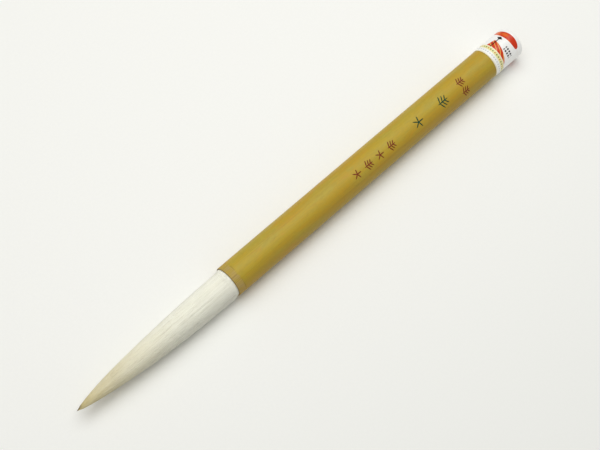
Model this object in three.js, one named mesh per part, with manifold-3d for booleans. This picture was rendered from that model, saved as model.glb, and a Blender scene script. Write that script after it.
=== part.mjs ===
// Bamboo calligraphy brush lying on its side: hair point towards -X, printed sleeve towards +X.
// Millimetres, +Z up. The origin is under the middle of the brush, on the surface it lies on.
import * as THREE from "three";
import { mergeVertices } from "three/addons/utils/BufferGeometryUtils.js";
import Module from "manifold-3d";

const manifold = await Module();
manifold.setup();

// Handle: a length of cane, a little thicker towards its far end.
const handleLength = 171;
const mouthRadius = 7.0;
const farRadius = 7.1;
const caneWall = 3.0;
const mouthWall = 0.95;
const mouthRounding = 0.35;
const bandLength = 3.4; // skin shaved off next to the mouth
const bandRelief = 0.1;
const grooveWidth = 0.5; // turned line that ends the shaved band
const grooveDepth = 0.2;
const farRounding = 0.9;

// Printed sleeve shrunk over the far end, and the plug that closes the cane.
const sleeveLength = 17.5;
const sleeveThickness = 0.2;
const sleeveSeatDepth = 0.2;
const sleeveLip = 1.4; // how far the sleeve turns in over the end
const plugLength = 10;
const plugProud = 0.5;
const plugChamfer = 0.4;

// Hair: a mantle over a lining over a core, with a hemp wrap round the root of the core.
const tuftLength = 78.5;
const tuftSwell = 0.45; // how far the belly stands out past the socket wall
const shoulderLength = 2.2;
const mantleThickness = 0.9;
const liningThickness = 1.0;
const coreSetback = 16; // the core stops this far short of the lining's tip
const hempLength = 26;
const hempThickness = 0.6;

// Root of the hair inside the socket.
const rootLength = 12;
const throatLength = 3;
const glueSpace = 0.95; // between the bound root and the socket wall
const glueLength = 4.5;
const threadDiameter = 0.45;
const threadTurns = 5;
const threadPitch = 0.62;
const sealThickness = 1.2;
const socketEndSpace = 0.8;

// Engraved ornaments, filled with pigment. Places are measured back from the far end of the cane.
const ornamentDepth = 0.5;
const ornamentSink = 0.03; // how far the dry pigment lies under the skin
const strokeWidth = 0.5;
const facingAngle = 27; // degrees round from the top towards -Y
const redSize = 4.3;
const redRowPlace = 80.3;
const redRowPitch = 6.77;
const redRowCount = 4;
const greenSize = 5.4;
const greenPlaces = [48.6, 63.7];
const pairPlace = 36.2;
const pairAngles = [13, 53];

// Clearances.
const bondGap = 0.12; // between pieces glued or pressed together
const hairGap = 0.25; // between layers of hair

// Smoothness.
const sides = 36;
const tuftStations = 9;
const arcSteps = 3;
const leafSegments = 2;
const threadStepsPerTurn = 16;

// Derived sizes.
const socketRadius = mouthRadius - mouthWall;
const boreRadius = mouthRadius - caneWall;
const bellyRadius = socketRadius + tuftSwell;
const throatRadius = socketRadius - bondGap;
const rootRadius = socketRadius - glueSpace;
const socketDepth = rootLength + bondGap + sealThickness + socketEndSpace;
const seatRadius = farRadius - sleeveSeatDepth;
const sleeveInner = seatRadius + bondGap;
const sleeveOuter = sleeveInner + sleeveThickness;
const totalLength = tuftLength + handleLength + plugProud;
const tipX = -totalLength / 2;
const mouthX = tipX + tuftLength;
const farX = mouthX + handleLength;
const rootX = mouthX + rootLength;
// The brush lies on a flat of its widest many-sided piece.
const widestRadius = Math.max(sleeveOuter, mouthRadius, farRadius, bellyRadius);
const axisHeight = widestRadius * Math.cos(Math.PI / sides);

const bamboo = new THREE.MeshStandardMaterial({ color: 0xbfa14a, roughness: 0.42, metalness: 0 });
const hair = new THREE.MeshStandardMaterial({ color: 0xeeecdc, roughness: 0.6, metalness: 0 });
const hemp = new THREE.MeshStandardMaterial({ color: 0xc9b78c, roughness: 0.9, metalness: 0 });
const thread = new THREE.MeshStandardMaterial({ color: 0xe6dfcb, roughness: 0.8, metalness: 0 });
const rosin = new THREE.MeshStandardMaterial({ color: 0x5a3514, roughness: 0.35, metalness: 0 });
const glue = new THREE.MeshStandardMaterial({ color: 0xcaa35a, roughness: 0.3, metalness: 0 });
const film = new THREE.MeshStandardMaterial({ color: 0xf6f4ef, roughness: 0.3, metalness: 0 });
const plugWood = new THREE.MeshStandardMaterial({ color: 0xb98a4e, roughness: 0.6, metalness: 0 });
const redPigment = new THREE.MeshStandardMaterial({ color: 0x8e3a22, roughness: 0.7, metalness: 0 });
const greenPigment = new THREE.MeshStandardMaterial({ color: 0x0f5b40, roughness: 0.7, metalness: 0 });

const brush = new THREE.Group();

// A body turned about the brush's axis from [x, radius] points, going towards +X along its outside.
function turned(profile) {
  const points = profile.map(([x, radius]) => new THREE.Vector2(radius, x));
  const lathe = new THREE.LatheGeometry(points, sides, Math.PI / sides);
  return lathe.rotateZ(-Math.PI / 2);
}

function add(name, geometry, material) {
  const mesh = new THREE.Mesh(geometry, material);
  mesh.name = name;
  mesh.position.z = axisHeight;
  brush.add(mesh);
}

function solidFrom(geometry) {
  const bare = geometry.clone();
  bare.deleteAttribute("normal");
  bare.deleteAttribute("uv");
  const merged = mergeVertices(bare, 1e-4);
  const vertProperties = merged.attributes.position.array;
  const triVerts = new Uint32Array(merged.index.array);
  return new manifold.Manifold(new manifold.Mesh({ numProp: 3, vertProperties, triVerts }));
}

function geometryFrom(solid) {
  const { numProp, numVert, vertProperties, triVerts } = solid.getMesh();
  const positions = new Float32Array(numVert * 3);
  for (let i = 0; i < numVert; i++) {
    positions.set(vertProperties.subarray(i * numProp, i * numProp + 3), i * 3);
  }
  const geometry = new THREE.BufferGeometry();
  geometry.setAttribute("position", new THREE.BufferAttribute(positions, 3));
  return geometry.setIndex(new THREE.BufferAttribute(triVerts, 1));
}

// Quarter arc from the outside of a rounded edge round to its end face, or back from the face.
function endArc(cornerX, cornerRadius, rounding, back = false) {
  const points = [];
  for (let i = 0; i <= arcSteps; i++) {
    const turn = ((back ? arcSteps - i : i) / arcSteps) * (Math.PI / 2);
    const x = cornerX + rounding * Math.sin(turn);
    points.push([x, cornerRadius + rounding * Math.cos(turn)]);
  }
  return points;
}

// Radius of the cane's skin at x.
function skinRadius(x) {
  return mouthRadius + ((farRadius - mouthRadius) * (x - mouthX)) / handleLength;
}

// --- Ornaments ------------------------------------------------------------------------------

// A leaf-shaped stroke between two points, grown all round by a margin.
function stroke([x0, y0], [x1, y1], width, margin) {
  const length = Math.hypot(x1 - x0, y1 - y0);
  const end = length / 2 + margin;
  const half = width / 2 + margin;
  const blunt = half * 0.45;
  const leaf = new THREE.Shape();
  leaf.moveTo(-end, -blunt);
  leaf.quadraticCurveTo(0, -2 * half + blunt, end, -blunt);
  leaf.lineTo(end, blunt);
  leaf.quadraticCurveTo(0, 2 * half - blunt, -end, blunt);
  leaf.closePath();
  const prism = new THREE.ExtrudeGeometry(leaf, {
    depth: 2 * farRadius,
    bevelEnabled: false,
    curveSegments: leafSegments,
  });
  prism.rotateZ(Math.atan2(y1 - y0, x1 - x0));
  prism.translate((x0 + x1) / 2, (y0 + y1) / 2, 0);
  return solidFrom(prism);
}

// Stem with pairs of leaves pointing up the handle.
function sprig(size) {
  const strokes = [[[-size / 2, 0], [size / 2, 0]]];
  for (const root of [-0.34, -0.08, 0.18]) {
    for (const side of [-1, 1]) {
      strokes.push([[root * size, 0], [(root + 0.26) * size, side * (0.42 - root * 0.35) * size]]);
    }
  }
  return strokes;
}

// Petals round a centre.
function blossom(size) {
  const petals = 5;
  const strokes = [];
  for (let i = 0; i < petals; i++) {
    const turn = (i / petals) * 2 * Math.PI;
    strokes.push([
      [-0.06 * size * Math.cos(turn), -0.06 * size * Math.sin(turn)],
      [(size / 2) * Math.cos(turn), (size / 2) * Math.sin(turn)],
    ]);
  }
  return strokes;
}

function ornamentPrism(ornament, margin) {
  const pieces = ornament.strokes.map(([from, to]) => stroke(from, to, strokeWidth, margin));
  const whole = pieces.reduce((joined, piece) => joined.add(piece));
  const turnedPrism = geometryFrom(whole).rotateX(THREE.MathUtils.degToRad(ornament.angle));
  return solidFrom(turnedPrism.translate(farX - ornament.place, 0, 0));
}

// A rod along the whole handle that lies a given depth under the skin.
function rodUnderSkin(depth) {
  return solidFrom(
    turned([
      [mouthX, 0],
      [mouthX, mouthRadius - depth],
      [farX, farRadius - depth],
      [farX, 0],
    ]),
  );
}

const ornaments = [];
for (let i = 0; i < redRowCount; i++) {
  ornaments.push({
    name: `red_ornament_${i + 1}`,
    material: redPigment,
    strokes: i % 2 ? blossom(redSize) : sprig(redSize),
    place: redRowPlace + i * redRowPitch,
    angle: facingAngle,
  });
}
greenPlaces.forEach((place, i) => {
  ornaments.push({
    name: `green_ornament_${i + 1}`,
    material: greenPigment,
    strokes: i % 2 ? blossom(greenSize) : sprig(greenSize),
    place,
    angle: facingAngle,
  });
});
pairAngles.forEach((angle, i) => {
  ornaments.push({
    name: `red_pair_ornament_${i + 1}`,
    material: redPigment,
    strokes: sprig(redSize),
    place: pairPlace,
    angle,
  });
});

// --- Handle -----------------------------------------------------------------------------------

const bandEndX = mouthX + bandLength;
const grooveEndX = bandEndX + grooveWidth;
const seatX = farX - sleeveLength;
const socketEndX = mouthX + socketDepth;
const bandRadius = mouthRadius - bandRelief;
const cane = turned([
  [mouthX, socketRadius],
  [mouthX, bandRadius - mouthRounding],
  [mouthX + mouthRounding, bandRadius],
  [bandEndX, bandRadius],
  [bandEndX, skinRadius(bandEndX) - grooveDepth],
  [grooveEndX, skinRadius(grooveEndX) - grooveDepth],
  [grooveEndX, skinRadius(grooveEndX)],
  [seatX, skinRadius(seatX)],
  [seatX, seatRadius],
  ...endArc(farX - farRounding, seatRadius - farRounding, farRounding),
  [farX, boreRadius],
  [socketEndX, boreRadius],
  [socketEndX, socketRadius],
  [mouthX, socketRadius],
]);

let engravedCane = solidFrom(cane);
const pigmentTop = rodUnderSkin(ornamentSink);
const pigmentFloor = rodUnderSkin(ornamentDepth - bondGap);
const pocketFloor = rodUnderSkin(ornamentDepth);
for (const ornament of ornaments) {
  const fill = ornamentPrism(ornament, 0).intersect(pigmentTop).subtract(pigmentFloor);
  const pocket = ornamentPrism(ornament, bondGap).subtract(pocketFloor);
  engravedCane = engravedCane.subtract(pocket);
  add(ornament.name, geometryFrom(fill), ornament.material);
}
add("bamboo_handle", geometryFrom(engravedCane), bamboo);

// --- Far end ----------------------------------------------------------------------------------

const cornerX = farX - farRounding;
const cornerRadius = seatRadius - farRounding;
const innerRounding = farRounding + bondGap;
const outerRounding = innerRounding + sleeveThickness;
const lipRadius = cornerRadius - sleeveLip + farRounding;
add(
  "printed_sleeve",
  turned([
    [seatX + bondGap, sleeveInner],
    [seatX + bondGap, sleeveOuter],
    ...endArc(cornerX, cornerRadius, outerRounding),
    [cornerX + outerRounding, lipRadius],
    [cornerX + innerRounding, lipRadius],
    ...endArc(cornerX, cornerRadius, innerRounding, true),
    [seatX + bondGap, sleeveInner],
  ]),
  film,
);

const plugRadius = boreRadius - bondGap;
const plugFaceX = farX + plugProud;
add(
  "end_plug",
  turned([
    [farX - plugLength, 0],
    [farX - plugLength, plugRadius - plugChamfer],
    [farX - plugLength + plugChamfer, plugRadius],
    [plugFaceX - plugChamfer, plugRadius],
    [plugFaceX, plugRadius - plugChamfer],
    [plugFaceX, 0],
  ]),
  plugWood,
);

// --- Hair -------------------------------------------------------------------------------------

// Radius of the tuft at a distance from its point: full at the belly, drawn to a point.
const fullness = 0.72;
function tuftRadius(distance) {
  const short = 1 - Math.min(distance / tuftLength, 1);
  return bellyRadius * (1 - short ** 2) ** fullness;
}

// The distance from the point at which the tuft has a given radius.
function distanceAt(radius) {
  return tuftLength * (1 - Math.sqrt(1 - (radius / bellyRadius) ** (1 / fullness)));
}

// Outline of the hair a given depth under the tuft's surface, from its own tip to the root's end.
// A core that is set back starts later and grows to full width over the same distance again.
function hairOutline(depth, setback = 0) {
  const start = (depth > 0 ? distanceAt(depth) : 0) + setback;
  const shoulder = tuftLength - shoulderLength;
  const points = [[tipX + start, 0]];
  for (let i = 1; i <= tuftStations; i++) {
    const share = i / tuftStations;
    const distance = start + (shoulder - start) * share ** 1.6;
    const grown = setback ? Math.sqrt(Math.min((distance - start) / setback, 1)) : 1;
    points.push([tipX + distance, (tuftRadius(distance) - depth) * grown]);
  }
  points.push([mouthX - shoulderLength / 4, throatRadius + (bellyRadius - throatRadius) / 2 - depth]);
  points.push([mouthX, throatRadius - depth]);
  points.push([mouthX + throatLength, rootRadius - depth]);
  points.push([rootX, rootRadius - depth]);
  return points;
}

const liningDepth = mantleThickness + hairGap;
const hempDepth = liningDepth + liningThickness + hairGap;
const coreDepth = hempDepth;
const hempStartX = mouthX - hempLength;

add("mantle_hair", turned([...hairOutline(0), ...hairOutline(mantleThickness).reverse()]), hair);
add(
  "lining_hair",
  turned([...hairOutline(liningDepth), ...hairOutline(liningDepth + liningThickness).reverse()]),
  hair,
);

// The hemp is wrapped over the root half of the core, so the core is thinner there.
const hempInnerRadius = rootRadius - hempDepth - hempThickness;
const coreRadius = hempInnerRadius - hairGap;
const hempOuter = hairOutline(hempDepth).filter(([x]) => x > hempStartX);
add(
  "hemp_wrap",
  turned([
    [hempStartX, hempInnerRadius],
    [hempStartX, tuftRadius(hempStartX - tipX) - hempDepth],
    ...hempOuter,
    [rootX, hempInnerRadius],
    [hempStartX, hempInnerRadius],
  ]),
  hemp,
);
const coreOuter = hairOutline(coreDepth, coreSetback).filter(([x]) => x < hempStartX - hairGap);
add(
  "core_hair",
  turned([
    ...coreOuter,
    [hempStartX - hairGap, tuftRadius(hempStartX - hairGap - tipX) - coreDepth],
    [hempStartX - hairGap, coreRadius],
    [rootX, coreRadius],
    [rootX, 0],
  ]),
  hair,
);

// --- Root binding, seal and glue --------------------------------------------------------------

const sealStartX = rootX + bondGap;
add(
  "rosin_seal",
  turned([
    [sealStartX, 0],
    [sealStartX, rootRadius],
    [sealStartX + sealThickness, rootRadius - sealThickness / 2],
    [sealStartX + sealThickness, 0],
  ]),
  rosin,
);

// The thread winds round the root just in front of the seal. Its straight steps clear the root too.
const threadClearance = (rootRadius + bondGap) / Math.cos(Math.PI / threadStepsPerTurn);
const threadRadius = threadClearance + threadDiameter / 2;
const threadLength = threadTurns * threadPitch;
const threadStartX = rootX - threadDiameter - threadLength;
class ThreadPath extends THREE.Curve {
  getPoint(t, target = new THREE.Vector3()) {
    const turn = 2 * Math.PI * threadTurns * t;
    const x = threadStartX + threadLength * t;
    return target.set(x, threadRadius * Math.cos(turn), threadRadius * Math.sin(turn));
  }
}
const threadSection = new THREE.Shape().absarc(0, 0, threadDiameter / 2, 0, 2 * Math.PI);
add(
  "root_thread",
  new THREE.ExtrudeGeometry(threadSection, {
    steps: threadTurns * threadStepsPerTurn,
    curveSegments: leafSegments,
    extrudePath: new ThreadPath(),
  }),
  thread,
);

const glueStartX = mouthX + throatLength;
add(
  "socket_glue",
  turned([
    [glueStartX, rootRadius + bondGap],
    [glueStartX, socketRadius - bondGap],
    [glueStartX + glueLength, socketRadius - bondGap],
    [glueStartX + glueLength, rootRadius + bondGap],
    [glueStartX, rootRadius + bondGap],
  ]),
  glue,
);

export default brush;
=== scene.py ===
import math

import bmesh
import bpy
import numpy as np
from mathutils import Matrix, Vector


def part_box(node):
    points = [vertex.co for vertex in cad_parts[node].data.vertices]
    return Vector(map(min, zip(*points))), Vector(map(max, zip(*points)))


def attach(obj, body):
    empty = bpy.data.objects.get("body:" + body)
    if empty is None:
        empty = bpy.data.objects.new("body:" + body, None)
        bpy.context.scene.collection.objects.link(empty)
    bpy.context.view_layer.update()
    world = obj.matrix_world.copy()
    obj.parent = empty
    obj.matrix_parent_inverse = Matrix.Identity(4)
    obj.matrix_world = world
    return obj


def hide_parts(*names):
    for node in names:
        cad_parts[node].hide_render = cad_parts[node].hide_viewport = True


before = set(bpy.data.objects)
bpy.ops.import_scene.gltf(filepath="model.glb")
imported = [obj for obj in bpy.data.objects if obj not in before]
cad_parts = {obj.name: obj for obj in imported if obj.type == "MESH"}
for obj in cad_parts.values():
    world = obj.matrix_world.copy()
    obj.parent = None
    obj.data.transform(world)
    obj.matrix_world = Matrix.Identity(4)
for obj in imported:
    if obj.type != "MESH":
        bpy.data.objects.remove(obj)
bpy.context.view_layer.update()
mm = 0.001
fullTurn = 2 * math.pi
bondGap = 0.12 * mm             # between pieces that are glued or pressed together
caneTaper = 0.1 * mm            # what the cane's radius gains from the mouth to the far end
caneWaver = 0.04 * mm           # how far its skin strays from round and straight
pinhole = 0.02 * mm             # left open on the axis of a turned piece
rng = np.random.default_rng(41)

# Places that everything else is hung on, all from the frame.
caneLow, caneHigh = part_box("bamboo_handle")
hairLow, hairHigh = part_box("mantle_hair")
sleeveLow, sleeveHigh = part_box("printed_sleeve")
plugLow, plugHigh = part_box("end_plug")
sealLow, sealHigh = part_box("rosin_seal")
glueLow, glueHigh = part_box("socket_glue")
mouthX = caneLow.x
farX = caneHigh.x
tipX = hairLow.x
rootX = hairHigh.x
tuftLength = mouthX - tipX
axisZ = (hairLow.z + hairHigh.z) / 2


def halfWidth(low, high):
    return (high.y - low.y) / 2


caneRadius = halfWidth(caneLow, caneHigh)
bellyRadius = halfWidth(hairLow, hairHigh)
sleeveRadius = halfWidth(sleeveLow, sleeveHigh)
plugRadius = halfWidth(plugLow, plugHigh)
rootRadius = halfWidth(sealLow, sealHigh)
socketRadius = halfWidth(glueLow, glueHigh) + bondGap


# ---- shader helpers

def srgb(red, green, blue):
    def linear(c):
        c /= 255
        return c / 12.92 if c <= 0.04045 else ((c + 0.055) / 1.055) ** 2.4
    return (linear(red), linear(green), linear(blue), 1.0)


class Socket:
    # an output in a node tree, so that shader maths reads as an expression

    def __init__(self, finish, output):
        self.finish = finish
        self.output = output

    def math(self, operation, *others):
        return self.finish.node("ShaderNodeMath", {"operation": operation}, [self, *others])

    def __add__(self, other):
        return self.math("ADD", other)

    def __radd__(self, other):
        return self.math("ADD", other)

    def __sub__(self, other):
        return self.math("SUBTRACT", other)

    def __rsub__(self, other):
        return self.finish.node("ShaderNodeMath", {"operation": "SUBTRACT"}, [other, self])

    def __mul__(self, other):
        return self.math("MULTIPLY", other)

    def __truediv__(self, other):
        return self.math("DIVIDE", other)

    def __pow__(self, other):
        return self.math("POWER", other)

    def __abs__(self):
        return self.math("ABSOLUTE")

    def above(self, edge, soft):
        # 0 below the edge, 1 above it, with a soft change of that half width
        return self.finish.ramp(self, edge - soft, edge + soft)

    def below(self, edge, soft):
        return 1 - self.above(edge, soft)

    def near(self, middle, half, soft):
        # 1 within that distance of the middle
        return abs(self - middle).below(half, soft)

    def most(self, other):
        return self.math("MAXIMUM", other)

    def sine(self):
        return self.math("SINE")

    def repeat(self):
        return self.math("FRACT")


class Finish:
    # one material and the node tree behind it

    def __init__(self, name, roughness=0.5, specular=0.5, uniform=None):
        self.material = bpy.data.materials.new(name)
        self.material.use_nodes = True
        self.tree = self.material.node_tree
        self.tree.nodes.clear()
        out = self.tree.nodes.new("ShaderNodeOutputMaterial")
        self.shader = self.tree.nodes.new("ShaderNodeBsdfPrincipled")
        self.tree.links.new(self.shader.outputs["BSDF"], out.inputs["Surface"])
        settings = {"Roughness": roughness, "Specular IOR Level": specular, **(uniform or {})}
        for socketName, value in settings.items():
            self.shader.inputs[socketName].default_value = value

    def node(self, kind, settings=None, sockets=(), pick=0):
        # one node: its settings first, then its sockets by name or by order
        made = self.tree.nodes.new(kind)
        for key, value in (settings or {}).items():
            if key == "stops":
                self.setStops(made.color_ramp, value)
            else:
                setattr(made, key, value)
        pairs = sockets.items() if isinstance(sockets, dict) else enumerate(sockets)
        for key, value in pairs:
            if isinstance(value, Socket):
                self.tree.links.new(value.output, made.inputs[key])
            else:
                made.inputs[key].default_value = value
        return Socket(self, made.outputs[pick])

    def setStops(self, ramp, stops):
        while len(ramp.elements) < len(stops):
            ramp.elements.new(0.5)
        for element, (place, colour) in zip(ramp.elements, stops):
            element.position = place
            element.color = srgb(*colour)

    def place(self, stretch=(1, 1, 1), shift=(0, 0, 0)):
        # object coordinates, stretched and then moved
        coords = self.node("ShaderNodeTexCoord", pick="Object")
        return self.node(
            "ShaderNodeMapping",
            {"vector_type": "POINT"},
            {"Vector": coords, "Location": shift, "Scale": stretch},
        )

    def split(self, vector):
        return [self.node("ShaderNodeSeparateXYZ", sockets=[vector], pick=i) for i in range(3)]

    def roundAxis(self):
        # x along the brush in metres, turn from the top towards -Y in radians, distance from the axis
        x, y, z = self.split(self.place())
        up = z - axisZ
        turn = self.node("ShaderNodeMath", {"operation": "ARCTAN2"}, [y * -1, up])
        return x, turn, (y * y + up * up) ** 0.5

    def noise(self, vector, scale=1.0, detail=2.0, roughness=0.5):
        return self.node(
            "ShaderNodeTexNoise",
            {"noise_dimensions": "3D"},
            {"Vector": vector, "Scale": scale, "Detail": detail, "Roughness": roughness},
        )

    def ramp(self, value, low, high, lowOut=0.0, highOut=1.0):
        settings = {"interpolation_type": "SMOOTHSTEP"}
        return self.node("ShaderNodeMapRange", settings, [value, low, high, lowOut, highOut])

    def tint(self, share, first, second):
        # first colour where share is 0, second where it is 1; a colour is a link or (r, g, b)
        first, second = (c if isinstance(c, Socket) else srgb(*c) for c in (first, second))
        settings = {"data_type": "RGBA", "blend_type": "MIX"}
        return self.node("ShaderNodeMix", settings, {0: share, 6: first, 7: second}, pick=2)

    def stops(self, value, stops):
        return self.node("ShaderNodeValToRGB", {"stops": stops}, [value])

    def bump(self, height, distance, strength=1.0, under=None):
        sockets = {"Height": height, "Distance": distance, "Strength": strength}
        if under is not None:
            sockets["Normal"] = under
        return self.node("ShaderNodeBump", sockets=sockets)

    def feed(self, **inputs):
        names = {"colour": "Base Color", "roughness": "Roughness", "normal": "Normal"}
        for key, value in inputs.items():
            self.tree.links.new(value.output, self.shader.inputs[names[key]])
        return self.material


# ---- mesh helpers

def addMesh(name, verts, faces):
    # a closed mesh, turned so that its faces look outwards
    mesh = bpy.data.meshes.new(name)
    mesh.from_pydata(np.asarray(verts).tolist(), [], faces)
    mesh.update()
    checked = bmesh.new()
    checked.from_mesh(mesh)
    if checked.calc_volume(signed=True) < 0:
        mesh.flip_normals()
    checked.free()
    mesh.shade_smooth()
    obj = bpy.data.objects.new(name, mesh)
    bpy.context.scene.collection.objects.link(obj)
    return obj


def skinFaces(rows, count, closed, base=0):
    # quads that join rows of points into a skin; closed joins the last row to the first
    index = base + np.arange(rows * count).reshape(rows, count)
    nextCol = np.roll(index, -1, axis=1)
    nextRow = np.roll(index, -1, axis=0)
    nextBoth = np.roll(nextCol, -1, axis=0)
    quads = np.stack([index, nextCol, nextBoth, nextRow], -1)
    return (quads if closed else quads[:-1]).reshape(-1, 4).tolist()


def anglesRound(segments):
    return np.arange(segments) * (fullTurn / segments)


def turnedRings(profile, segments):
    # rings round the brush's axis for (x, radius) points
    angles = anglesRound(segments)
    x, r = (np.array(column)[:, None] for column in zip(*profile))
    return np.stack([x + 0 * angles, r * np.sin(angles), axisZ + r * np.cos(angles)], -1)


def turnedPiece(name, rings):
    rows, count, _ = rings.shape
    return addMesh(name, rings.reshape(-1, 3), skinFaces(rows, count, True))


def cornerArc(x, radius, rounding, steps, towards=1):
    # quarter round from the outside of an edge to the face that looks towards +X or -X
    turns = np.linspace(0, math.pi / 2, steps + 1)
    return [(x + towards * rounding * math.sin(t), radius + rounding * math.cos(t)) for t in turns]


def modified(obj, kind, **settings):
    # the mesh that one modifier makes of an object
    modifier = obj.modifiers.new("shaping", kind)
    for key, value in settings.items():
        setattr(modifier, key, value)
    shaped = obj.evaluated_get(bpy.context.evaluated_depsgraph_get())
    mesh = bpy.data.meshes.new_from_object(shaped)
    obj.modifiers.remove(modifier)
    return mesh


def finishPiece(obj, material, slot, nodes=()):
    obj.data.materials.clear()
    obj.data.materials.append(material)
    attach(obj, "root")
    if nodes:
        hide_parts(*nodes)


# ---- camera, light and floor

studio = {
    "azimuth": 44.18,           # degrees round from the hair's end
    "elevation": 61.4,
    "distance": 0.5346,
    "lens": 78.0,
    "aim": (-0.0075, -0.0013),
    "lampPlace": (0.10, 0.10, 0.80),
    "lampSize": 0.9,
    "lampPower": 6.08,
    "lampColour": (1.0, 0.998, 0.972),
    "air": 0.32,                # light from all round
    "airColour": (1.0, 1.0, 0.985, 1.0),
    "paper": [(246, 246, 243), (250, 250, 247)],
    "paperAway": (234, 235, 232),   # painted shade: the paper's tone, darker on the side away from the lamp
    "paperSize": 3.0,
}


def placeCamera(s):
    turn, lift = math.radians(s["azimuth"]), math.radians(s["elevation"])
    flat = Vector((-math.sin(turn), -math.cos(turn), 0))
    towards = flat * math.cos(lift) + Vector((0, 0, math.sin(lift)))
    data = bpy.data.cameras.new("studioCamera")
    data.lens = s["lens"]
    data.clip_start = 0.01
    obj = bpy.data.objects.new("studioCamera", data)
    obj.location = Vector((*s["aim"], axisZ)) + towards * s["distance"]
    obj.rotation_euler = towards.to_track_quat("Z", "Y").to_euler()
    bpy.context.scene.collection.objects.link(obj)
    bpy.context.scene.camera = obj


def hangLamp(s):
    data = bpy.data.lights.new("softLamp", "AREA")
    data.shape = "SQUARE"
    data.size = s["lampSize"]
    data.energy = s["lampPower"]
    data.color = s["lampColour"]
    lamp = bpy.data.objects.new("softLamp", data)
    lamp.location = s["lampPlace"]
    lamp.rotation_euler = Vector(s["lampPlace"]).to_track_quat("Z", "Y").to_euler()
    bpy.context.scene.collection.objects.link(lamp)
    world = bpy.data.worlds.new("studioAir")
    world.use_nodes = True
    background = world.node_tree.nodes["Background"]
    background.inputs["Color"].default_value = s["airColour"]
    background.inputs["Strength"].default_value = s["air"]
    bpy.context.scene.world = world
    bpy.context.scene.view_settings.view_transform = "Standard"


def layPaper(s):
    f = Finish("floorPaper", roughness=0.85, specular=0.15)
    grain = f.noise(f.place(), 900.0, detail=3.0)
    # painted shade: the paper darkened towards -Y, the side away from the lamp
    paintedFalloff = f.ramp(f.split(f.place())[1], -0.2, 0.06, 1, 0)
    colour = f.tint(paintedFalloff * 0.6, f.tint(grain, *s["paper"]), s["paperAway"])
    material = f.feed(colour=colour, normal=f.bump(grain, 0.02 * mm, 0.3))
    size = s["paperSize"]
    mesh = bpy.data.meshes.new("floorPaper")
    corners = [(-size, -size, 0), (size, -size, 0), (size, size, 0), (-size, size, 0)]
    mesh.from_pydata(corners, [], [(0, 1, 2, 3)])
    mesh.materials.append(material)
    floor = bpy.data.objects.new("floorPaper", mesh)
    bpy.context.scene.collection.objects.link(floor)


placeCamera(studio)
hangLamp(studio)
layPaper(studio)
print("camera, lamp and floor ready")


# ---- ornaments engraved in the cane and filled with pigment

ornament = {
    "strokeWidth": 0.5 * mm,
    "blunt": 0.45,              # width of a stroke's ends, as a share of its middle
    "depth": 0.25 * mm,         # of the cut
    "above": 0.4 * mm,          # of the cutter over the skin
    "sink": 0.02 * mm,          # pigment under the skin
    "floorGap": 0.01 * mm,      # pigment above the cut's floor
    "margin": 0.03 * mm,        # pigment short of the cut's walls
    "voxel": 0.05,              # mm, for melting the strokes together
    "stations": 9,
    "redSize": 4.3 * mm,
    "greenSize": 5.4 * mm,
    "petals": 5,
    "red": [(122, 44, 14), (150, 90, 44)],
    "green": [(0, 60, 40), (14, 96, 64)],
}


def sprig(size):
    # stem with pairs of leaves pointing up the handle
    strokes = [((-size / 2, 0), (size / 2, 0))]
    for root in (-0.34, -0.08, 0.18):
        for side in (-1, 1):
            leafEnd = ((root + 0.26) * size, side * (0.42 - root * 0.35) * size)
            strokes.append(((root * size, 0), leafEnd))
    return strokes


def blossom(size, petals):
    # petals round a centre
    strokes = []
    for i in range(petals):
        c, s = math.cos(i / petals * fullTurn), math.sin(i / petals * fullTurn)
        strokes.append(((-0.06 * size * c, -0.06 * size * s), (size / 2 * c, size / 2 * s)))
    return strokes


def flatStrokes(strokes, o, grow, low, high):
    # leaf-shaped bars in flat coordinates: along, across, height
    share = np.linspace(0, 1, o["stations"])
    verts, faces = [], []
    for (x0, y0), (x1, y1) in strokes:
        length = math.hypot(x1 - x0, y1 - y0)
        c, s = (x1 - x0) / length, (y1 - y0) / length
        along = (share - 0.5) * (length + 2 * grow)
        half = o["strokeWidth"] / 2 + grow
        across = half * (o["blunt"] + (1 - o["blunt"]) * 4 * share * (1 - share))
        base = len(verts)
        for a, w in zip(along, across):
            for side, height in ((w, high), (-w, high), (-w, low), (w, low)):
                verts.append(((x0 + x1) / 2 + a * c - side * s, (y0 + y1) / 2 + a * s + side * c, height))
        faces += skinFaces(len(share), 4, False, base)
        last = len(verts) - 4
        faces += [[base + 3, base + 2, base + 1, base], [last, last + 1, last + 2, last + 3]]
    return np.array(verts), faces


def skinRadius(x, angle):
    # the cane's skin: a little thicker towards its far end, and never quite round or straight
    share = (x - mouthX) / (farX - mouthX)
    steady = np.clip((x - mouthX - 5 * mm) / (8 * mm), 0, 1) * np.clip((sleeveLow.x - x) / (8 * mm), 0, 1)
    waver = np.sin(2 * angle + x * 31) * 0.6 + np.sin(3 * angle - x * 57 + 1) * 0.4
    return caneRadius - caneTaper * (1 - share) + caneWaver * steady * waver


def wrapped(points, place, angle):
    # flat points laid round the cane
    x = place + points[:, 0]
    around = angle + points[:, 1] / caneRadius
    radius = skinRadius(x, around) + points[:, 2]
    return np.stack([x, radius * np.sin(around), axisZ + radius * np.cos(around)], -1)


def pigment(name, colours):
    f = Finish(name, roughness=0.65, specular=0.3)
    wear = f.noise(f.place(), 2600.0, detail=3.0)
    cloud = f.noise(f.place((1, 1, 1), (0.3, 0, 0)), 700.0)
    colour = f.tint(f.ramp(wear, 0.5, 0.75) * 0.6 + cloud * 0.2, *colours)
    return f.feed(colour=colour, roughness=0.5 + wear * 0.3, normal=f.bump(wear, 0.03 * mm, 0.5))


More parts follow.
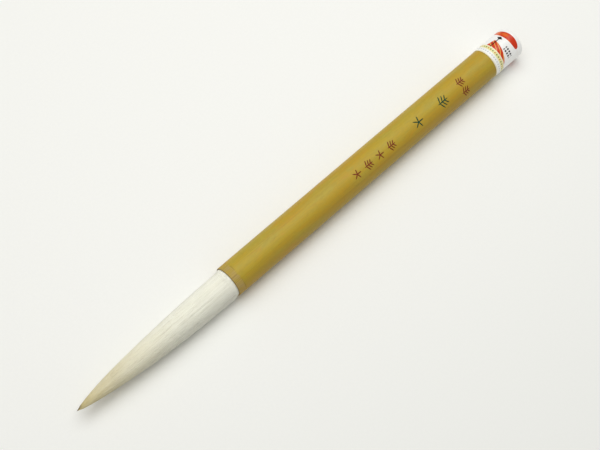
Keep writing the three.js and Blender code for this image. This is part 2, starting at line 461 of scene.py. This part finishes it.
def fillOrnaments(o):
    # makes the pigment pieces, and gives back the shape to cut from the cane
    materials = {"red": pigment("redPigment", o["red"]), "green": pigment("greenPigment", o["green"])}
    cutVerts, cutFaces, count = [], [], 0
    for node in sorted(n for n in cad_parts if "ornament" in n):
        low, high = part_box(node)
        words = node.split("_")
        colour = words[0]
        size = o[colour + "Size"]
        place = high.x - size / 2
        angle = math.atan2((low.y + high.y) / 2, (low.z + high.z) / 2 - axisZ)
        plain = "pair" in node or int(node[-1]) % 2
        strokes = sprig(size) if plain else blossom(size, o["petals"])
        verts, faces = flatStrokes(strokes, o, 0.0, -o["depth"] + o["floorGap"], -o["sink"])
        bars = addMesh("strokeBars", verts / mm, faces)
        mesh = modified(bars, "REMESH", mode="VOXEL", voxel_size=o["voxel"], use_smooth_shade=True)
        bpy.data.objects.remove(bars)
        melted = np.empty(len(mesh.vertices) * 3)
        mesh.vertices.foreach_get("co", melted)
        laid = wrapped(melted.reshape(-1, 3) * mm, place, angle)
        mesh.vertices.foreach_set("co", laid.ravel())
        mesh.update()
        name = colour + "".join(word.capitalize() for word in words[1:])
        piece = bpy.data.objects.new(name, mesh)
        bpy.context.scene.collection.objects.link(piece)
        finishPiece(piece, materials[colour], colour + "_pigment", [node])
        verts, faces = flatStrokes(strokes, o, o["margin"], -o["depth"], o["above"])
        cutVerts.append(wrapped(verts, place, angle))
        cutFaces += [[i + count for i in face] for face in faces]
        count += len(verts)
    return addMesh("ornamentCuts", np.vstack(cutVerts), cutFaces)


ornamentCuts = fillOrnaments(ornament)
print("ornaments filled")


# ---- bamboo handle

bamboo = {
    "segments": 192,
    "rows": 90,
    "bandLength": 3.4 * mm,     # skin shaved off next to the mouth
    "bandRelief": 0.03 * mm,
    "grooveWidth": 0.3 * mm,
    "grooveDepth": 0.04 * mm,
    "mouthRounding": 0.3 * mm,
    "farRounding": 0.9 * mm,
    "seatDepth": 0.33 * mm,
    "flare": 0.42 * mm,         # the wall thinned from inside at the mouth
    "flareDepth": 2.4 * mm,
    "socketRoom": 0.8 * mm,     # left behind the seal
    "gold": (188, 161, 46),
    "warm": (190, 152, 44),
    "greenish": (178, 164, 66),
    "orange": (198, 148, 48),
    "streak": (152, 124, 44),
    "deep": (148, 116, 24),     # on the side that faced the sun
    "bare": (182, 156, 104),
    "bareStreak": (132, 100, 52),
    "rim": (142, 120, 76),
    # painted shade: darker on the side turned away from the lamp
    "fleck": (92, 60, 22),
}


def bambooSkin(b):
    # patches first, then fibres, the shaved band at the mouth, and the sawn end
    f = Finish("bambooSkin", specular=0.24, uniform={"Coat Weight": 0.04, "Coat Roughness": 0.25})
    along, turn, _ = f.roundAxis()
    broad = f.noise(f.place((14, 150, 150)))
    patches = f.noise(f.place((60, 220, 220), (5, 2, 0)))
    streaks = f.noise(f.place((9, 900, 900), (3, 0, 0)), detail=3.0, roughness=0.6)
    fibres = f.noise(f.place((40, 4200, 4200)), detail=2.0, roughness=0.6)
    colour = f.tint(f.ramp(broad, 0.38, 0.62), b["warm"], b["gold"])
    colour = f.tint(f.ramp(patches, 0.45, 0.7) * 0.6, colour, b["greenish"])
    mottle = f.noise(f.place((150, 480, 480), (1, 4, 0)), detail=3.0, roughness=0.6)
    colour = f.tint(f.ramp(mottle, 0.52, 0.74) * 0.5, colour, b["greenish"])
    colour = f.tint(f.ramp(mottle, 0.26, 0.46, 1, 0) * 0.45, colour, b["orange"])
    grain = f.noise(f.place((420, 1300, 1300), (2, 6, 0)), detail=2.0, roughness=0.7)
    colour = f.tint(f.ramp(grain, 0.42, 0.6) * 0.25, colour, f.tint(patches, b["greenish"], b["streak"]))
    colour = f.tint(f.ramp(streaks, 0.52, 0.78) * 0.35, colour, b["streak"])
    colour = f.tint(f.ramp(fibres, 0.5, 0.75) * 0.22, colour, b["streak"])
    # painted shade: the side turned away from the lamp, lower right in the view, is tinted darker
    paintedShadeSide = turn.near(1.45, 0.7, 0.5)
    colour = f.tint(paintedShadeSide * 0.4, colour, b["deep"])
    bandEnd = mouthX + b["bandLength"]
    ragged = along + (streaks - 0.5) * (1.6 * mm) + (mottle - 0.5) * (1.2 * mm)
    inBand = ragged.below(bandEnd, 0.5 * mm)
    bare = f.tint(f.ramp(fibres, 0.42, 0.66) * 0.7, b["bare"], b["bareStreak"])
    colour = f.tint(inBand * (0.25 + f.ramp(mottle, 0.35, 0.65) * 0.45), colour, bare)
    # dark line in the groove past the shaved band: rubbed lacquer, and painted shade in the groove
    line = along.near(bandEnd + b["grooveWidth"] / 2, b["grooveWidth"] * 0.5, 0.12 * mm)
    grooveStainAndShade = f.noise(f.place((1, 1, 1), (0.7, 0, 0)), 260.0, detail=1.0)
    colour = f.tint(line * f.ramp(grooveStainAndShade, 0.42, 0.62) * 0.35, colour, b["fleck"])
    specks = f.noise(f.place((260, 900, 900), (7, 1, 0)), detail=1.0)
    colour = f.tint(f.ramp(specks, 0.72, 0.79) * (0.1 + inBand * 0.5), colour, b["fleck"])
    # darker end face at the mouth: end grain, and painted shade for the shadowed face
    rim = along.below(mouthX + 0.14 * mm, 0.06 * mm)
    colour = f.tint(rim * 0.8, colour, b["rim"])
    pores = f.noise(f.place((100, 2400, 2400)), detail=1.0)
    sawn = f.tint(f.ramp(pores, 0.5, 0.66), b["bare"], b["bareStreak"])
    colour = f.tint(along.above(farX - 0.1 * mm, 0.05 * mm), colour, sawn)
    rough = 0.4 + fibres * 0.14 + inBand * 0.2
    relief = f.bump(fibres, 0.03 * mm, 0.5, f.bump(streaks, 0.06 * mm, 0.4))
    return f.feed(colour=colour, roughness=rough, normal=relief)


def makeBamboo(b, cuts):
    bore = plugRadius + bondGap
    socketEnd = sealHigh.x + b["socketRoom"]
    bandEnd = mouthX + b["bandLength"]
    grooveEnd = bandEnd + b["grooveWidth"]
    seatX = sleeveLow.x - bondGap
    seat = sleeveRadius - b["seatDepth"]
    skinAtMouth = caneRadius - caneTaper
    band = skinAtMouth - b["bandRelief"]
    groove = skinAtMouth - b["grooveDepth"]
    rounding, far = b["mouthRounding"], b["farRounding"]
    profile = [(mouthX + b["flareDepth"], socketRadius), (mouthX, socketRadius + b["flare"])]
    profile += cornerArc(mouthX + rounding, band - rounding, rounding, 6, -1)[::-1]
    profile += [(bandEnd - 0.05 * mm, band), (bandEnd + 0.03 * mm, groove)]
    profile += [(grooveEnd - 0.08 * mm, groove), (grooveEnd + 0.06 * mm, skinAtMouth)]
    skinStart = len(profile)
    profile += [(x, caneRadius) for x in np.linspace(grooveEnd + mm, seatX, b["rows"])]
    skinEnd = len(profile)
    profile += [(seatX + 0.02 * mm, seat)]
    profile += cornerArc(farX - far, seat - far, far, 5)
    profile += [(farX, bore), (socketEnd, bore), (socketEnd, socketRadius)]
    rings = turnedRings(profile, b["segments"])
    angle = anglesRound(b["segments"])
    skin = rings[skinStart:skinEnd]
    radius = skinRadius(skin[..., 0], angle)
    skin[..., 1] = radius * np.sin(angle)
    skin[..., 2] = axisZ + radius * np.cos(angle)
    obj = turnedPiece("bambooHandle", rings)
    obj.data = modified(obj, "BOOLEAN", operation="DIFFERENCE", solver="EXACT", object=cuts, use_self=True)
    bpy.data.objects.remove(cuts)
    obj.data.shade_smooth()
    obj.data.set_sharp_from_angle(angle=math.radians(38))
    finishPiece(obj, bambooSkin(b), "bamboo", ["bamboo_handle"])


makeBamboo(bamboo, ornamentCuts)
print("bamboo handle turned and engraved")


# ---- tuft

tuft = {
    "segments": 300,
    "rows": 170,
    "innerRows": 24,
    "fullness": 0.72,
    "thickness": 0.9 * mm,      # of the mantle
    "neck": 2.2 * mm,           # length over which its hollow narrows to the mouth
    "rootTaper": 3.0 * mm,      # and from the mouth to the bound root
    "hollowStart": 3.5 * mm,    # back from the point
    "shoulder": 3.6 * mm,
    "throat": 1.9 * mm,         # from the mouth in to the bound root
    "mouthGap": 0.05 * mm,      # between its outside and the flare
    "sag": (-0.35 * mm, -0.45 * mm),
    "groove": 0.03 * mm,
    "grooveWaves": 36,
    "point": 2.4 * mm,          # length drawn out to a fine point
    "strands": 1080,
    "strandSteps": 28,
    "strandRadius": 0.05 * mm,
    "colours": [(0.0, (104, 88, 56)), (0.02, (200, 184, 132)), (0.10, (219, 207, 164)),
                (0.32, (238, 233, 209)), (0.62, (248, 247, 233)), (1.0, (251, 250, 238))],
    "shade": (184, 174, 146),
}


def smooth(value):
    value = np.clip(value, 0, 1)
    return value * value * (3 - 2 * value)


def freeRadius(distance):
    # full at the belly and narrowing to the point
    short = 1 - np.clip(distance / tuftLength, 0, 1)
    return bellyRadius * (1 - short ** 2) ** tuft["fullness"]


def tuftRadius(distance):
    # outside of the tuft, drawn out to its point and drawn in to the socket at the mouth
    t = tuft
    drawn = 0.45 + 0.55 * smooth(distance / t["point"])
    toMouth = np.clip((distance - tuftLength) / t["shoulder"] + 1, 0, 1)
    atMouth = socketRadius + bamboo["flare"] - t["mouthGap"]
    return freeRadius(distance) * drawn - (bellyRadius - atMouth) * toMouth ** 2


def tuftSag(distance):
    # how far the wetted and dried hair hangs off the axis, as a share of the sag
    out = (tuftLength - distance) / tuftLength
    return smooth(out * 32) * (1 - smooth((out - 0.4) / 0.5))


def onTuft(distance, radius, angle):
    sideways, down = tuft["sag"]
    sag = tuftSag(distance)
    y = radius * np.sin(angle) + sag * sideways
    z = axisZ + radius * np.cos(angle) + sag * down
    return np.stack([tipX + distance + 0 * angle, y, z], -1)


def hairFinish(name, t):
    f = Finish(name, specular=0.25, uniform={"Sheen Weight": 0.12, "Sheen Roughness": 0.5})
    along, _, _ = f.roundAxis()
    fine = f.noise(f.place((30, 3600, 3600)), detail=3.0, roughness=0.65)
    locks = f.noise(f.place((18, 700, 700)))
    colour = f.stops((along - tipX) / tuftLength + (locks - 0.5) * 0.16, t["colours"])
    colour = f.tint(f.ramp(fine, 0.48, 0.72) * 0.3, colour, t["shade"])
    return f.feed(colour=colour, roughness=0.5 + fine * 0.15, normal=f.bump(fine, 0.05 * mm, 0.6))


def hollowRadius(distance):
    # inside of the mantle, which keeps clear of the lining and so doesn't sag with the outside
    t = tuft
    inSocket = socketRadius - bondGap
    places = [tuftLength - t["neck"], tuftLength - t["neck"] / 4, tuftLength, tuftLength + t["rootTaper"]]
    radii = [bellyRadius, (bellyRadius + inSocket) / 2, inSocket, rootRadius]
    return np.minimum(freeRadius(distance), np.interp(distance, places, radii)) - t["thickness"]


def makeMantle(t, material):
    angles = anglesRound(t["segments"])
    start = pinhole
    distance = (start + np.linspace(0, 1, t["rows"]) ** 1.35 * (tuftLength - start))[:, None]
    grooves = np.zeros((t["rows"], t["segments"]))
    for _ in range(t["grooveWaves"]):
        lobes = int(rng.integers(24, 110))
        phase, twist = rng.uniform(0, fullTurn), rng.normal(0, 0.5)
        drift = twist * np.sin(distance / tuftLength * 3 + phase)
        grooves += np.sin(lobes * (angles + drift * 0.15) + phase)
    fade = np.clip(distance / (25 * mm), 0.1, 1)
    radius = tuftRadius(distance) + grooves * fade * t["groove"] / 6
    outer = onTuft(distance, radius, angles)
    # the root inside the socket, and back along the inside of the mantle
    rootEnd = rootX - tipX
    throat = tuftLength + t["throat"]
    bends = [rootEnd, tuftLength + t["rootTaper"], tuftLength, tuftLength - t["neck"] / 4]
    along = np.linspace(tuftLength - t["neck"], t["hollowStart"], t["innerRows"])
    hollow = np.concatenate([bends, along])[:, None]
    inside = hollowRadius(hollow)
    inner = np.stack(
        [tipX + hollow + 0 * angles, inside * np.sin(angles), axisZ + inside * np.cos(angles)], -1
    )
    rootRows = np.array([[throat], [rootEnd]])
    root = onTuft(rootRows, rootRadius + 0 * rootRows, angles)
    rings = np.concatenate([outer, root, inner])
    rows, count, _ = rings.shape
    faces = skinFaces(rows, count, False)
    faces.append(list(range(count))[::-1])
    faces.append(list(range((rows - 1) * count, rows * count)))
    body = addMesh("tuftMantle", rings.reshape(-1, 3), faces)
    finishPiece(body, material, "goat_hair", ["mantle_hair"])


def makeStrands(t, material):
    steps = t["strandSteps"]
    sides = anglesRound(3)[:, None]
    verts, faces = [], []
    for i in range(t["strands"]):
        angle = rng.uniform(0, fullTurn)
        length = rng.uniform(0.3, 0.99)
        share = 1.0 - length * np.linspace(0, 1, steps) ** 1.4
        wander = rng.normal(0, 0.05) * np.sin((1 - share) * rng.uniform(2, 6) + rng.uniform(0, 6))
        lift = rng.uniform(-0.03, 0.03) * mm
        radius = tuftRadius(share * tuftLength) + lift
        thick = t["strandRadius"] * rng.uniform(0.6, 1.15) * np.clip((share - share[-1]) * 8, 0.12, 1)
        around = angle + wander + thick * np.sin(sides) / np.maximum(radius, 0.3 * mm)
        points = onTuft(share * tuftLength, np.maximum(radius, 0) + thick * np.cos(sides), around)
        base = i * steps * 3
        verts.append(points.transpose(1, 0, 2).reshape(-1, 3))
        faces += skinFaces(steps, 3, False, base)
        last = base + steps * 3 - 3
        faces += [[base + 2, base + 1, base], [last, last + 1, last + 2]]
    strands = addMesh("tuftStrands", np.vstack(verts), faces)
    finishPiece(strands, material, "goat_hair")


goatHair = hairFinish("goatHair", tuft)
makeMantle(tuft, goatHair)
makeStrands(tuft, goatHair)
print("tuft laid")


# ---- printed sleeve

sleeve = {
    "segments": 240,
    "rows": 24,
    "thickness": 0.2 * mm,
    "corner": 1.22 * mm,
    "lip": 1.7 * mm,
    "seamAngle": 2.6,           # radians from the top, round the back
    "seamWidth": 0.3,
    "seamStep": 0.04 * mm,
    "pucker": 0.035 * mm,
    "squares": 36,
    "edgeEnd": 0.55,            # this and the next places are in mm from the sleeve's edge
    "marksPlace": 1.7,
    "bandPlace": 3.55,
    "bandHalf": 0.95,
    "tongueFoot": 4.75,
    "tongueRise": 7.0,
    "tongueTip": 1.33,          # radians from the top
    "stemSpan": (7.8, 3.2),     # middle and half length
    "lozengePlace": 11.0,
    "beadsSpan": (9.0, 1.5),
    "beadsAside": (7.5, 2.5),   # round the sleeve from the lozenge
    "beadPitch": 1.5,
    "ribbonPlace": 13.7,
    "ribbonHalf": 1.65,
    "ribbonTip": 0.98,          # radians from the top
    "white": [(245, 245, 243), (251, 251, 250)],
    "cream": (242, 232, 196),
    "yellow": (238, 232, 158),
    "leaf": (104, 116, 62),
    "amber": (206, 122, 52),
    "grey": (158, 166, 158),
    "red": (206, 50, 6),
    "orange": (234, 112, 36),
    "gold": (246, 214, 112),
    "black": (34, 24, 22),
}


def dottedBands(f, s, along, turn, cell, colour):
    # a cream edge, grey marks on white, and a yellow band with green and amber squares
    colour = f.tint(along.below(s["edgeEnd"], 0.1) * 0.8, colour, s["cream"])
    band = along.near(s["bandPlace"], s["bandHalf"], 0.08)
    colour = f.tint(band * 0.9, colour, s["yellow"])
    squares = cell.below(0.27, 0.05) * along.near(s["bandPlace"], 0.32, 0.07)
    everyThird = (turn * (s["squares"] / fullTurn) / 3 + 0.25).repeat().above(0.6, 0.02)
    colour = f.tint(squares * 0.9, colour, f.tint(everyThird, s["leaf"], s["amber"]))
    marks = cell.below(0.24, 0.06) * along.near(s["marksPlace"], 0.3, 0.08)
    return f.tint(marks * 0.6, colour, s["grey"])


def tongues(f, s, along, turn, cloud, colour):
    # two that rise from the band, each with fine gold lines
    saw = ((s["tongueTip"] - turn) / math.pi).repeat()
    rise = s["tongueFoot"] + saw ** 0.85 * s["tongueRise"] * saw.below(0.58, 0.035)
    tongue = (along - rise).below(0, 0.07) * along.above(s["tongueFoot"], 0.06)
    lines = (along * 0.55 + turn * 2.4 + cloud * 0.5).repeat().near(0.5, 0.09, 0.03)
    ink = f.noise(f.place(), 2400.0, detail=2.0)
    ink = f.tint(f.ramp(ink, 0.4, 0.7) * 0.35, s["red"], s["orange"])
    return f.tint(tongue, colour, f.tint(lines * 0.8, ink, s["gold"]))


def ribbons(f, s, along, turn, colour):
    # two near the far end that run out to points
    share = (((s["ribbonTip"] - turn) / math.pi).repeat() * 1.45).math("MINIMUM", 1)
    swell = (share ** 0.85 * math.pi).sine() ** 0.38
    middle = s["ribbonPlace"] + (turn * 2 + 0.9).sine() * 0.4
    ribbon = (abs(along - middle) - swell * s["ribbonHalf"]).below(0, 0.07)
    flame = f.ramp(f.noise(f.place((220, 220, 220), (2, 0, 0)), detail=1.0), 0.46, 0.6)
    return f.tint(ribbon, colour, f.tint(flame * 0.8, s["red"], s["orange"]))


def darkPrint(f, s, along, turn, cell, colour):
    # twice round the sleeve: a lozenge on a stem, with rows of beads beside it
    around = (turn * 2 + 0.55) / fullTurn
    aside = ((around + 0.5).repeat() - 0.5) * math.pi * (sleeveRadius / mm)
    lozenge = (abs(aside) * 0.7 + abs(along - s["lozengePlace"])).below(1.0, 0.07)
    stem = abs(aside).below(0.26, 0.06) * along.near(*s["stemSpan"], 0.08)
    beads = cell.below(0.31, 0.05) * aside.near(*s["beadsAside"], 0.2)
    rows = (along / s["beadPitch"]).repeat().near(0.5, 0.32, 0.06)
    beads = beads * rows * along.near(*s["beadsSpan"], 0.1)
    return f.tint(lozenge.most(stem * 0.9).most(beads), colour, s["black"])


def printedFilm(s):
    gloss = {"Coat Weight": 0.12, "Coat Roughness": 0.1}
    f = Finish("printedFilm", roughness=0.28, specular=0.4, uniform=gloss)
    x, turn, _ = f.roundAxis()
    along = (x - sleeveLow.x) / mm
    cell = abs((turn * (s["squares"] / fullTurn)).repeat() - 0.5)
    cloud = f.noise(f.place(), 300.0)
    colour = dottedBands(f, s, along, turn, cell, f.tint(cloud, *s["white"]))
    colour = tongues(f, s, along, turn, cloud, colour)
    colour = ribbons(f, s, along, turn, colour)
    colour = darkPrint(f, s, along, turn, cell, colour)
    return f.feed(colour=colour, roughness=0.24 + cloud * 0.1, normal=f.bump(cloud, 0.05 * mm, 0.25))


def makeSleeve(s):
    corner, thin = s["corner"], s["thickness"]
    bend = sleeveHigh.x - corner
    core = sleeveRadius - corner
    lip = sleeveRadius - s["lip"]
    start = sleeveLow.x
    worn = 0.03 * mm
    profile = [(start, sleeveRadius - thin), (start, sleeveRadius - worn), (start + worn, sleeveRadius)]
    profile += [(x, sleeveRadius) for x in np.linspace(start + 0.5 * mm, bend - 0.5 * mm, s["rows"])]
    profile += cornerArc(bend, core, corner, 8)
    profile += [(sleeveHigh.x, lip + worn), (sleeveHigh.x - worn, lip), (sleeveHigh.x - thin, lip)]
    profile += cornerArc(bend, core, corner - thin, 8)[::-1]
    rings = turnedRings(profile, s["segments"])
    # the film's lengthwise overlap, and puckers where it turns in over the end
    angle = anglesRound(s["segments"])
    off = (angle - s["seamAngle"]) / s["seamWidth"]
    overlap = smooth(off * 6 + 0.5) * smooth((1 - off) * 3)
    turnedIn = smooth((rings[..., 0] - bend) / corner)
    pucker = (np.sin(23 * angle) + 0.6 * np.sin(41 * angle + 1)) * s["pucker"]
    radius = np.hypot(rings[..., 1], rings[..., 2] - axisZ)
    shrunk = radius - s["seamStep"] * (1 - overlap) + pucker * turnedIn * smooth((radius - lip) / mm + 0.4)
    rings[..., 1] *= shrunk / radius
    rings[..., 2] = axisZ + (rings[..., 2] - axisZ) * shrunk / radius
    finishPiece(turnedPiece("printedSleeve", rings), printedFilm(s), "sleeve_film", ["printed_sleeve"])


makeSleeve(sleeve)
print("sleeve shrunk on")


# ---- plug in the far end

plug = {
    "segments": 96,
    "chamfer": 0.4 * mm,
    "dimple": 0.35 * mm,
    "wood": [(184, 138, 78), (158, 110, 58)],
    "pore": (96, 62, 30),
}


def plugWood(p):
    f = Finish("plugWood", specular=0.3)
    _, _, out = f.roundAxis()
    warp = f.noise(f.place(), 260.0)
    rings = (out * 5200 + warp * 9).sine() * 0.5 + 0.5
    pores = f.noise(f.place((120, 2600, 2600)), detail=1.0)
    colour = f.tint(rings * 0.7, *p["wood"])
    colour = f.tint(f.ramp(pores, 0.62, 0.72) * 0.7, colour, p["pore"])
    return f.feed(colour=colour, roughness=0.55 + rings * 0.15, normal=f.bump(pores, 0.05 * mm, 0.6))


def makePlug(p):
    chamfer, face, back = p["chamfer"], plugHigh.x, plugLow.x
    profile = [(back, pinhole), (back, plugRadius - chamfer), (back + chamfer, plugRadius)]
    profile += cornerArc(face - chamfer, plugRadius - chamfer, chamfer, 5)
    profile += [(face, plugRadius * share) for share in (0.7, 0.45, 0.22)]
    profile += [(face - p["dimple"] * 0.6, plugRadius * 0.12), (face - p["dimple"], pinhole)]
    rings = turnedRings(profile, p["segments"])
    finishPiece(turnedPiece("endPlug", rings), plugWood(p), "plug_wood", ["end_plug"])


makePlug(plug)
print("plug in")


# ---- what is hidden inside: the CAD shapes with their own finishes

inside = {
    "hemp": [(206, 186, 138), (150, 124, 78)],
    "thread": [(234, 226, 204), (186, 172, 140)],
    "rosin": [(104, 60, 22), (52, 28, 10)],
    "glue": [(206, 168, 96), (172, 128, 62)],
}


def fibreFinish(name, colours, stretch, relief):
    f = Finish(name, roughness=0.85, specular=0.2)
    fibre = f.noise(f.place(stretch), detail=3.0, roughness=0.6)
    colour = f.tint(f.ramp(fibre, 0.35, 0.7), *colours)
    return f.feed(colour=colour, normal=f.bump(fibre, relief, 0.8))


def resinFinish(name, colours, roughness):
    f = Finish(name, roughness=roughness, specular=0.5, uniform={"Coat Weight": 0.4})
    swirl = f.noise(f.place(), 420.0, detail=3.0)
    bubbles = f.ramp(f.noise(f.place(), 3000.0, detail=0.0), 0.68, 0.75)
    colour = f.tint(swirl, *colours)
    relief = f.bump(bubbles, 0.05 * mm, 0.6, f.bump(swirl, 0.1 * mm, 0.4))
    return f.feed(colour=colour, roughness=roughness + swirl * 0.15, normal=relief)


hidden = {
    "lining_hair": goatHair,
    "core_hair": goatHair,
    "hemp_wrap": fibreFinish("hempFibre", inside["hemp"], (900, 900, 300), 0.15 * mm),
    "root_thread": fibreFinish("bindingThread", inside["thread"], (2600, 900, 900), 0.06 * mm),
    "rosin_seal": resinFinish("rosin", inside["rosin"], 0.25),
    "socket_glue": resinFinish("socketGlue", inside["glue"], 0.3),
}
for nodeName, material in hidden.items():
    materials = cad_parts[nodeName].data.materials
    materials.clear()
    materials.append(material)
print("hidden parts finished")
